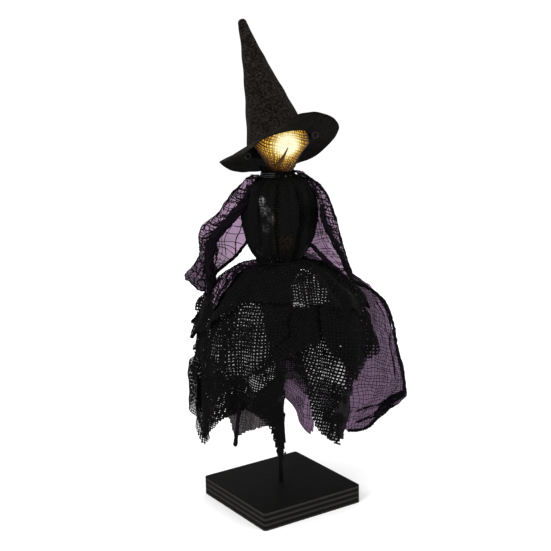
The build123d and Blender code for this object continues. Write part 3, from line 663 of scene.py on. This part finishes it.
# -------- sheer cloth: sleeves and cape
def drape(name, rows, size, cloth, amount=1.6, wrinkle=18.0, pitch=5.0, width=0.75, turn=0.0, seed=1,
          node=None, wander=0.55, cut=None):
    """A sheer sheet through rows of points, with a black net on it."""
    wide, long = size
    smooth = patch(rows)
    surface = crumpled(lambda a, b: smooth(a / wide, b / long), amount, wrinkle, seed, 0.4 * amount)
    outline = cut or [(0, 0), (wide, 0), (wide, long), (0, long)]
    verts, faces = cloth_grid(surface, outline, 2.2)
    sheet = add_mesh(name, verts, faces, cloth)
    tri = verts[faces]
    area = (np.linalg.norm(np.cross(tri[:, 1] - tri[:, 0], tri[:, 2] - tri[:, 0]), axis=1).sum()
            + np.linalg.norm(np.cross(tri[:, 2] - tri[:, 0], tri[:, 3] - tri[:, 0]), axis=1).sum()) / 2
    net_verts, net_faces = strands(surface, inside(outline), math.hypot(wide, long) / 2 + 6,
                                   pitch, width, turn, wander, 0.1, 2.0, 0.08, seed + 5, True,
                                   (wide / 2, long / 2), 0.25)
    net = add_mesh(name + "_net", net_verts, net_faces, NET)
    area = min(float(area), wide * long) * MM * MM
    for piece in (sheet, net):
        dress(piece, "figure")
    if node:
        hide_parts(node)


def gathers(name, lines, seed):
    """Bunched edges: several narrow crinkled ribbons wound along each line of points."""
    r = np.random.default_rng(seed)
    parts = []
    for points, count, spread, width in lines:
        line = curve(points)
        length = np.linalg.norm(np.diff(np.array(points, float), axis=0), axis=1).sum()
        t = np.linspace(0, 1, max(12, int(length / 1.2)))
        p = line(t)
        tangent = unit(np.gradient(p, axis=0))
        side = unit(np.cross(tangent, np.array([0.0, 1.0, 0.05])))
        deep = unit(np.cross(side, tangent))
        for k in range(count):
            spin = r.uniform(0, 6.28) + t * r.uniform(-5, 5) + 0.8 * np.sin(t * r.uniform(6, 16))
            off = spread * (0.35 + 0.65 * np.sin(math.pi * np.clip(t, 0, 1)) ** 0.5) * r.uniform(0.2, 1.0)
            c = p + side * (off * np.cos(spin))[:, None] + deep * (off * np.sin(spin))[:, None]
            c = c + 0.35 * np.stack([waves(c, 5.0, seed + k + j, 4) for j in range(3)], -1)
            roll = r.uniform(0, 6.28) + t * r.uniform(-12, 12)
            across = side * np.cos(roll)[:, None] + deep * np.sin(roll)[:, None]
            half = 0.5 * width * (0.7 + 0.5 * np.abs(np.sin(t * 40 + k)))[:, None]
            up = unit(np.cross(tangent, across)) * half * 0.5
            ring = np.stack([c - across * half, c + up, c + across * half, c - up], 1)
            parts.append(tube_mesh(ring))
    verts, faces = joined(parts)
    obj = add_mesh(name, verts, faces, NET)
    dress(obj, "figure")
    return obj


# left in the view: the sleeve on the figure's right arm
drape("left_sleeve_back", [
    [(-12, 9, 317), (-18, 12, 317.5), (-24, 9, 315)],
    [(-27, 10, 297), (-35, 14, 301), (-40, 7, 301.5)],
    [(-28, 8, 276), (-42, 15, 283), (-53, 5, 284)],
    [(-26, 6, 257), (-47, 15, 264), (-68, 3, 271)],
    [(-37, 4, 241), (-54, 13, 248), (-70, 1, 251)],
    [(-47, 2, 232), (-61, 10, 235), (-74, -1, 237)],
    [(-57, 0, 225), (-67, 7, 223), (-80, -2, 226)]], (44, 112), LILAC, 1.3, 20.0, 6.2, 0.7, 8.0, 51,
    node="left_sleeve")
drape("left_sleeve_front", [
    [(-22.4, -3, 317.7), (-18, -8, 318), (-14, -10, 318.5)],
    [(-31, -2, 308), (-27, -10, 306), (-21.5, -11, 304)],
    [(-38, -1, 300), (-33, -11, 298), (-27, -11, 295.5)],
    [(-46, -1, 289.5), (-41, -12, 288), (-35, -12, 288)],
    [(-56, -1, 280.5), (-50, -13, 279), (-43, -13, 279)],
    [(-66.5, -1, 272.4), (-60, -13, 271), (-51, -13, 270)],
    [(-70.3, -2, 262), (-67, -12, 261), (-60, -13, 261)],
    [(-70, -2, 253), (-68, -10, 252), (-63, -12, 252)],
    [(-68.6, -3, 244), (-66, -10, 244), (-62, -11, 244)]], (16, 108), MAUVE, 1.2, 12.0, 2.7, 1.05, -14.0, 52)
drape("left_sleeve_wing", [
    [(-69.0, -3, 247), (-65, -9, 246), (-60, -10, 246)],
    [(-76, -3, 236), (-70, -9, 234), (-62, -10, 234)],
    [(-84, -3, 226), (-74, -8, 223), (-62, -9, 222)],
    [(-75, -3, 214), (-70, -7, 212), (-64, -8, 211)]], (18, 42), DUSK, 1.4, 9.0, 2.4, 0.95, 9.0, 72)
drape("left_sleeve_tail", [
    [(-69, -6, 236), (-63, -11, 237), (-56, -7, 238)],
    [(-68, -4, 219), (-62, -10, 219), (-56, -5, 221)],
    [(-68, -3, 203), (-63, -8, 203), (-57, -4, 204)],
    [(-72, -3, 191), (-66, -7, 190), (-59, -3, 192)],
    [(-80, -3, 181), (-76, -5, 180), (-69, -2, 183)]], (16, 62), DUSK, 1.6, 9.0, 2.4, 1.2, 5.0, 53)
drape("left_hip_drape", [
    [(-14, -18, 238.5), (-17, -15, 239.5), (-20, -8, 241)],
    [(-31, -17, 233), (-32, -12, 235.5), (-32, -4, 238)],
    [(-39, -29, 227), (-41, -20, 230), (-40.5, -6, 233)],
    [(-46, -36, 219), (-49, -25, 222), (-51, -8, 225)],
    [(-53, -40, 209.5), (-56, -28, 212), (-57, -9, 215)],
    [(-57, -40, 201), (-60, -28, 202), (-61, -10, 204)]], (24, 62), MAUVE, 0.8, 12.0, 2.4, 1.1, 20.0, 54)
gathers("left_sleeve_gathers", [
    ([(-16, -9, 314), (-23, -11, 302), (-30, -13, 292), (-38, -14, 283), (-47, -14, 274), (-56, -14, 264),
      (-61, -13, 254), (-61, -12, 240), (-61, -10, 224), (-62, -8, 205)], 34, 4.3, 2.4),
    ([(-55, -12, 259), (-59, -12, 246), (-61, -12, 232), (-61, -9, 214), (-61, -7, 196)], 20, 5.6, 2.4),
    ([(-13, -6, 320), (-22, -2, 317.5), (-30, 0, 309.5), (-37, 0, 301.5), (-45.5, 0, 289.7), (-56, 0, 280.5),
      (-66.5, 0, 272.4), (-70.2, 0, 262), (-69.6, -1, 247), (-77, -3, 235), (-84, -3, 226), (-74, -4, 214)],
     5, 0.8, 0.9),
    ([(-22, 8, 268), (-25, 7, 258), (-31, 5, 249), (-39, 3, 241), (-47, 1, 235), (-55, -2, 229), (-62, -6, 217)],
     10, 1.3, 1.5),
    ([(-14, -19, 239), (-31, -15, 234.5), (-40, -24, 228.5), (-49, -32, 219), (-57, -36, 205)], 7, 1.6, 1.2),
    ([(-35, -61, 120), (-38, -61, 100), (-41, -60, 78)], 16, 1.8, 1.9),
    ([(-64, -12, 200), (-71, -10, 192), (-80, -8, 182)], 9, 2.0, 1.4),
    ([(-66, -14, 184), (-73, -10, 178), (-81, -8, 167)], 9, 2.6, 1.6),
    ([(-66, -14, 178), (-72, -12, 166), (-79, -8, 156)], 9, 2.8, 1.6)], 61)

drape("right_sleeve_front", [
    [(32, -10, 314), (35, -9, 314), (38, 0, 312)],
    [(38, -12, 303), (42, -11, 303), (47.5, 0, 301)],
    [(44, -12, 288), (49, -12, 287), (54, 0, 284)],
    [(47, -12, 272), (53, -12, 270), (58.5, 0, 267)],
    [(54, -11, 256), (59, -11, 254), (63, 0, 250)],
    [(62, -8, 240), (65, -8, 238), (68, 0, 233)],
    [(69, -4, 223), (71, -5, 220), (73, 1, 215)]], (14, 112), MAUVE, 1.2, 12.0, 2.4, 1.15, 10.0, 55)
# The back of the right sleeve uses the brighter lilac copy, painted light.
drape("right_sleeve_back", [
    [(19, 9, 321), (27, 7, 319), (36, 3, 313)],
    [(33, 12, 305), (39, 12, 306), (46, 3, 303)],
    [(36, 12, 283), (44, 14, 285), (54, 3, 283)],
    [(33, 12, 263), (46, 15, 264), (59.5, 3, 262)],
    [(27, 10, 247), (46, 14, 248), (64, 3, 245)],
    [(43, 8, 236), (57, 11, 234), (68.5, 4, 229)],
    [(62, 6, 218), (69, 8, 213), (75, 5, 207)]], (32, 122), LILAC_PAINTED_LIGHT, 1.3, 18.0, 4.2, 0.7, -9.0, 56, node="right_sleeve")
gathers("right_sleeve_gathers", [
    ([(22, -10, 317.4), (25, -7, 319.4), (30, -4, 318.0), (38, 0, 311), (48, 1, 300), (54, 1, 284),
      (60.5, 1, 260), (66, 1, 240), (74, 2, 213), (72, 0, 206)], 10, 1.5, 1.5),
    ([(27, -7, 248), (34, -8, 253), (43, -8, 243), (53, -7, 233), (62, -5, 224), (73, -2, 209)], 14, 2.0, 1.8),
    ([(44, -13, 292), (46, -14, 276), (52, -13, 262), (58, -11, 250), (64, -8, 237), (71, -4, 218)], 14, 2.5, 1.8)], 62)

# A slit up from the hem parts the cape into a narrow back tail and the full side.
drape("cape_cloth", [
    [(-18, 28, 311), (-4, 34, 312), (12, 34, 312), (26, 27, 311), (33, 17, 311), (36, 10, 310)],
    [(-14, 38, 272), (-1, 42, 272), (14, 41, 272), (31, 34, 272), (41, 24, 270), (44, 16, 268)],
    [(-10, 55, 236), (4, 58, 234), (20, 57, 233), (40, 46, 233), (56, 30, 232), (64, 16, 229)],
    [(-12, 76, 206), (4, 79, 204), (28, 77, 204), (56, 62, 206), (76, 38, 209), (86, 12, 209)],
    [(-14, 82, 180), (6, 86, 180), (36, 85, 182), (68, 70, 184), (92, 42, 188), (104.5, 8, 189)],
    [(-12, 79, 148), (10, 88, 148), (42, 88, 150), (78, 76, 150), (102, 44, 152), (113, 3, 153)],
    [(-4, 79, 116), (12, 88, 112), (42, 88, 110), (80, 76, 112), (107, 44, 118), (119, -2, 126)],
    [(0, 77, 98), (13, 86, 88), (36, 86, 74), (78, 70, 78), (104, 38, 92), (121, -6, 112)],
    [(4, 76, 82), (14, 83, 64), (31, 84, 33), (72, 62, 44), (95, 34, 63), (119.5, -8, 104)]],
    (178, 270), PLUM, 2.2, 30.0, 3.7, 0.6, 3.0, 57, "cape", 0.3, [
        (0, 0), (178, 0), (178, 270), (102, 270), (99, 236), (95, 200), (92, 160), (88, 120), (84, 100), (74, 84),
        (62, 100), (52, 120), (47, 160), (54, 200), (68, 236), (74, 253), (75, 264), (73, 270), (0, 270)])
gathers("cape_gathers", [
    ([(66, 6, 218), (74, 8, 214), (86, 11, 208), (96, 11, 200), (104, 8, 189), (110, 5, 170), (113, 3, 152),
      (117, -1, 132), (120, -5, 116), (119.5, -8, 106)], 11, 1.8, 1.7),
    ([(119.5, -8, 105), (110, 4, 94), (102, 16, 80), (96, 30, 66), (90, 44, 54), (80, 56, 46), (70, 62, 44)],
     10, 2.2, 1.3),
    ([(118, -6, 106), (108, 4, 98), (100, 10, 88), (95, 16, 78), (99, 16, 84)], 12, 2.6, 1.7),
    ([(107, 14, 184), (109, 10, 168), (108, 8, 152), (110, 4, 134), (112, 0, 118)], 3, 0.9, 0.8),
    ([(74, 2, 208), (82, 12, 196), (89, 22, 184)], 10, 2.4, 1.6),
    ([(118, -5, 108), (101, 35, 82), (88, 51, 72), (79, 59, 66)], 4, 1.6, 0.9),
    ([(112, 6, 90), (97, 34, 71), (86, 49, 61), (78, 57, 55)], 5, 1.8, 1.0)], 63)


# -------- head
HEAD = np.array([8.0, 0.0, 347.0])
HEAD_R = 25.6


def head_point(theta, up, grow=0.0):
    """Ball of gathered burlap: theta round, up = -90..90 degrees; it tapers to the neck in pleats."""
    lat = np.radians(up)
    low = np.clip((-up - 10) / 70, 0, 1)
    pleat = 1 + 0.05 * low * np.sin(13 * theta + 1) + 0.035 * low * np.sin(21 * theta)
    r = (HEAD_R + grow) * pleat * (1 + 0.015 * np.sin(3 * theta + 2 * lat))
    flat = np.maximum(np.cos(lat) * (1 - 0.28 * np.sin(math.pi * np.clip(-up / 75, 0, 1))), 0.22 * low)
    return np.stack([HEAD[0] + r * flat * np.cos(theta), HEAD[1] + r * flat * np.sin(theta),
                     HEAD[2] + r * np.sin(lat) * (1 + 0.0 * theta)], -1)


up, round_ = np.meshgrid(np.linspace(-70, 60, 40), np.linspace(-math.pi, math.pi, 97)[:-1], indexing="ij")
verts = head_point(round_, up).reshape(-1, 3)
LIT = (13.6, -23.0, 348.0)
LINING = glow("lit_lining", LIT, 8.0, 34.0, [
    (0.0, (0.96, 0.94, 0.74)), (0.16, (0.93, 0.85, 0.42)), (0.32, (0.90, 0.56, 0.055)), (0.60, (0.58, 0.27, 0.012)),
    (0.80, (0.11, 0.036, 0.002)), (1.0, (0.015, 0.005, 0.001))], 1.12)
THREAD = glow("lit_burlap", LIT, 8.0, 34.0, [
    (0.0, (0.88, 0.83, 0.56)), (0.13, (0.66, 0.48, 0.13)), (0.27, (0.20, 0.08, 0.006)), (0.50, (0.035, 0.012, 0.001)),
    (1.0, (0.003, 0.002, 0.001))], 0.95)
lining = add_mesh("head_lining", verts, grid_faces(40, 96, wrap=True), LINING)
dress(lining, "head")


def head_surface(a, b):
    return head_point(a / HEAD_R, 60 - b / HEAD_R * 57.3, 0.5)


head_long = 130 / 57.3 * HEAD_R
head_wide = 2 * math.pi * HEAD_R


def head_depth(a, b):
    """The hem is a little higher on the figure's left, so the head can tilt that way."""
    hem = head_long - 4.5 * np.clip(np.cos(a / HEAD_R), 0, 1)
    return np.minimum(np.minimum(b, hem - b), head_wide / 2 - np.abs(a))


verts, faces = strands(head_surface, head_depth,
                       100, 2.5, 1.15, 14.0, 0.22, 0.2, 1.0, 0.0, 71, False, (0.0, head_long / 2), uneven=0.2)
head_net = add_mesh("head_burlap", verts, faces, THREAD)
dress(head_net, "head")
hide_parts("head_bag")


def dart():
    """The pointed fold of gathered burlap that runs up the front of the head."""
    line = curve([(3.5, 329.0), (6.5, 332.5), (9.0, 336.5), (11.6, 341.0), (14.4, 346.5)])
    t = np.linspace(0, 1, 26)
    c = line(t)
    rings = []
    for (x, z), s in zip(c, t):
        half = 2.3 * (1 - s) ** 0.8 + 0.2
        x, z = float(x), float(z)
        deep = math.sqrt(max(1.0, HEAD_R ** 2 - (x - HEAD[0]) ** 2 - (z - HEAD[2]) ** 2))
        across = np.array([0.83, 0.0, -0.55])
        mid = np.array([x, -deep - 0.5, z])
        proud = 1.9 * (1 - s) + 0.6
        rings.append([mid - across * half, mid - across * half * 0.45 + np.array([0, -proud * 0.8, 0]),
                      mid + np.array([0, -proud, 0]), mid + across * half * 0.45 + np.array([0, -proud * 0.8, 0]),
                      mid + across * half, mid + np.array([0, 0.8, 0])])
    return tube_mesh(np.array(rings))


# The fold is coloured a dark dull brown, painted shade: the doubled burlap lets less of the lamp's light through than
# the glowing head round it.
fold = add_mesh("head_dart", *dart(), fibre("dart_burlap_painted_shade", (0.02, 0.010, 0.003), (0.10, 0.055, 0.016)))
dress(fold, "head")


# The black burlap gathered round the neck stands up higher on the figure's right.
RUFF_WIDE = 2 * math.pi * 15.0


def ruff_surface(a, b):
    theta = a / RUFF_WIDE * 2 * math.pi
    top = 321.5 + 6.5 * np.clip(np.cos(theta - math.radians(-160)), 0, 1) ** 0.8
    share = np.clip(b / 12.0, 0, 1)
    z = top + (316.5 - top) * share
    pleat = 0.9 * np.sin(15 * theta + 1) + 0.6 * np.sin(26 * theta)
    r = 14.6 + 2.6 * (1 - np.sin(math.pi * share * 0.9)) + pleat * (0.5 + 0.5 * share)
    return np.stack([4.5 + r * np.cos(theta), r * np.sin(theta), z], -1)


def ruff_depth(a, b):
    return np.where(np.abs(a) <= RUFF_WIDE / 2, np.minimum(b, 12.0 - b), -1.0)


verts, faces = strands(ruff_surface, ruff_depth, 52, 2.4, 1.56, 8.0, seed=77, centre=(0.0, 6.0), fray=0.6)
ruff = add_mesh("neck_ruff", verts, faces, BURLAP)
dress(ruff, "head")


def neck_wire():
    """Three turns of bright wire on the figure's right of the neck."""
    parts = []
    theta = np.radians(np.linspace(-162, -98, 22))
    for low, z in ((16.7, 318.6), (16.9, 320.3), (17.1, 322.0)):
        line = np.stack([4.5 + low * np.cos(theta), low * np.sin(theta), z + 0.3 * np.sin(6 * theta)], -1)
        round_tube = np.linspace(0, 2 * math.pi, 7)[:-1]
        out = np.stack([np.cos(theta), np.sin(theta), 0 * theta], -1)
        ring = (line[:, None] + 0.22 * (out[:, None] * np.cos(round_tube)[None, :, None]
                                       + np.array([0, 0, 1.0]) * np.sin(round_tube)[None, :, None]))
        parts.append(tube_mesh(ring))
    return joined(parts)


wire = add_mesh("neck_wire", *neck_wire(), metal("neck_wire_steel", (0.13, 0.13, 0.13), 0.3))
dress(wire, "head")


# -------- hat
HAT = np.array([6.5, 0.0, 346.8])
LEAN, BACK = math.radians(16.0), math.radians(25.0)
FELT_THICK = 1.6
BRIM_INNER, BRIM_OUTER = 30.2, 56.8
CONE_COLS, BRIM_COLS = 72, 160


def hat_frame(p):
    x, y, z = p[..., 0], p[..., 1], p[..., 2]
    y, z = y * math.cos(BACK) + z * math.sin(BACK), -y * math.sin(BACK) + z * math.cos(BACK)
    x, z = x * math.cos(LEAN) - z * math.sin(LEAN), x * math.sin(LEAN) + z * math.cos(LEAN)
    return HAT + np.stack([x, y, z], -1)


CONE = curve([(31.3, 0.0), (28.2, 9.0), (24.6, 22.0), (18.3, 50.0), (12.0, 79.0), (7.0, 106.0), (4.6, 121.0),
              (3.4, 126.5), (0.05, 128.6)])


def cone_grid(inset, rows=90, cols=CONE_COLS):
    t, phi = np.meshgrid(np.linspace(0, 1, rows), np.linspace(0, 2 * math.pi, cols, endpoint=False), indexing="ij")
    rz = CONE(t)
    r = np.maximum(rz[..., 0] - inset, 0.03)
    z = rz[..., 1] - (inset * 1.5 if inset else 0) * t
    r = r * (1 + 0.012 * np.sin(3 * phi + 5 * t) + 0.01 * np.sin(5 * phi - 9 * t + 1))
    p = np.stack([r * np.cos(phi), r * np.sin(phi), z], -1)
    dent = 0.45 * waves(p, 16.0, 81) * np.clip(r / 8, 0, 1)
    p[..., 0] += dent * np.cos(phi)
    p[..., 1] += dent * np.sin(phi)
    return hat_frame(p).reshape(-1, 3), grid_faces(rows, cols, wrap=True)


outer_v, outer_f = cone_grid(0.0)
inner_v, inner_f = cone_grid(FELT_THICK)
rim = band_faces(0, len(outer_v), CONE_COLS)
verts = np.concatenate([outer_v, inner_v])
faces = np.concatenate([outer_f, inner_f[:, ::-1] + len(outer_v), rim[:, ::-1]])
cone = add_mesh("hat_cone_felt", verts, faces, FELT)
dress(cone, "head", "hat_cone")

# Rise of the brim's edge every 30 degrees round from the figure's left, front at 90.
BRIM_RISE = curve([(rise,) for rise in (0, 4, 4, -5, -14, -9, 0, -3, -3, -5, -6, -2, 0)])


def brim_grid(side, rows=26, cols=BRIM_COLS):
    e, phi = np.meshgrid(np.linspace(0, 1, rows), np.linspace(0, 2 * math.pi, cols, endpoint=False), indexing="ij")
    round_off = np.where(e > 0.96, (e - 0.96) / 0.04, 0.0)
    radius = BRIM_INNER + (BRIM_OUTER - BRIM_INNER) * e + 0.5 * np.sin(4 * phi + 1) * e
    droop = BRIM_RISE(((-phi) % (2 * math.pi)) / (2 * math.pi))[..., 0]
    z = droop * e ** 1.4 + side * 0.5 * FELT_THICK * np.sqrt(np.clip(1 - round_off ** 2, 0, 1))
    p = np.stack([radius * np.cos(phi), radius * np.sin(phi), z], -1)
    p[..., 2] += 0.35 * waves(p * np.array([1, 1, 0.0]), 15.0, 83) * e
    return hat_frame(p).reshape(-1, 3), grid_faces(rows, cols, wrap=True)


top_v, top_f = brim_grid(1)
low_v, low_f = brim_grid(-1)
start = len(top_v)
last = start - BRIM_COLS
rims = [band_faces(last, start + last, BRIM_COLS), band_faces(0, start, BRIM_COLS)[:, ::-1]]
verts = np.concatenate([top_v, low_v])
faces = np.concatenate([top_f, low_f[:, ::-1] + start, *rims])
brim = add_mesh("hat_brim_felt", verts, faces, FELT)
# The brim's underside takes the darker felt, painted shade.
brim.data.materials.append(FELT_SHADED_UNDER)
index = np.zeros(len(brim.data.polygons), np.int32)
index[len(top_f):len(top_f) + len(low_f)] = 1
brim.data.polygons.foreach_set("material_index", index)
dress(brim, "head", "hat_brim")


# -------- stage, light and camera
def area_light(name, place, aim, size, power):
    data = bpy.data.lights.new(name, "AREA")
    data.shape = "RECTANGLE"
    data.size, data.size_y = size
    data.energy = power
    light = add_object(name, data, place)
    light.rotation_euler = (Vector(aim) - Vector(place)).to_track_quat("-Z", "Y").to_euler()


FLOOR = Look("pale_floor")
FLOOR.fill(FLOOR.shader, {"Base Color": (0.93, 0.93, 0.93, 1.0), "Roughness": 1.0, "Specular IOR Level": 0.0})
floor = add_mesh("floor", [(-30000, -8000, 0), (30000, -8000, 0), (30000, 60000, 0), (-30000, 60000, 0)],
                 [[0, 1, 2, 3]], FLOOR.made)
world = bpy.data.worlds.new("studio")
bpy.context.scene.world = world
world.use_nodes = True
world.node_tree.nodes["Background"].inputs["Color"].default_value = (1.0, 1.0, 1.0, 1.0)
world.node_tree.nodes["Background"].inputs["Strength"].default_value = 1.1
area_light("key", (-0.9, -1.1, 1.3), (0, 0, 0.22), (0.7, 0.7), 18)
area_light("fill", (1.3, -0.6, 0.7), (0, 0, 0.22), (0.9, 0.9), 8)
area_light("rim", (0.4, 1.2, 1.1), (0, 0, 0.3), (1.0, 0.6), 4)
lamp_data = bpy.data.lights.new("lamp_spill", "POINT")
lamp_data.energy = 0.006
lamp_data.color = (1.0, 0.72, 0.32)
lamp_data.shadow_soft_size = 0.012
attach(add_object("lamp_spill", lamp_data, (0.012, -0.036, 0.352)), "head")

CAMERA_RANGE, CAMERA_RISE, AIM_HEIGHT = 1.1, math.radians(13.04), 0.2235
camera_data = bpy.data.cameras.new("camera")
camera_data.sensor_width = 36.0
camera_data.lens = 76.6
aim = Vector((0.0, 0.0, AIM_HEIGHT))
camera = add_object("camera", camera_data,
                    aim + CAMERA_RANGE * Vector((0, -math.cos(CAMERA_RISE), math.sin(CAMERA_RISE))))
look = (aim - camera.location).to_track_quat("-Z", "Y").to_matrix()
camera.rotation_euler = (look @ Matrix.Rotation(math.radians(-1.57), 3, "Z")).to_euler()
bpy.context.scene.camera = camera
bpy.context.scene.view_settings.view_transform = "Standard"
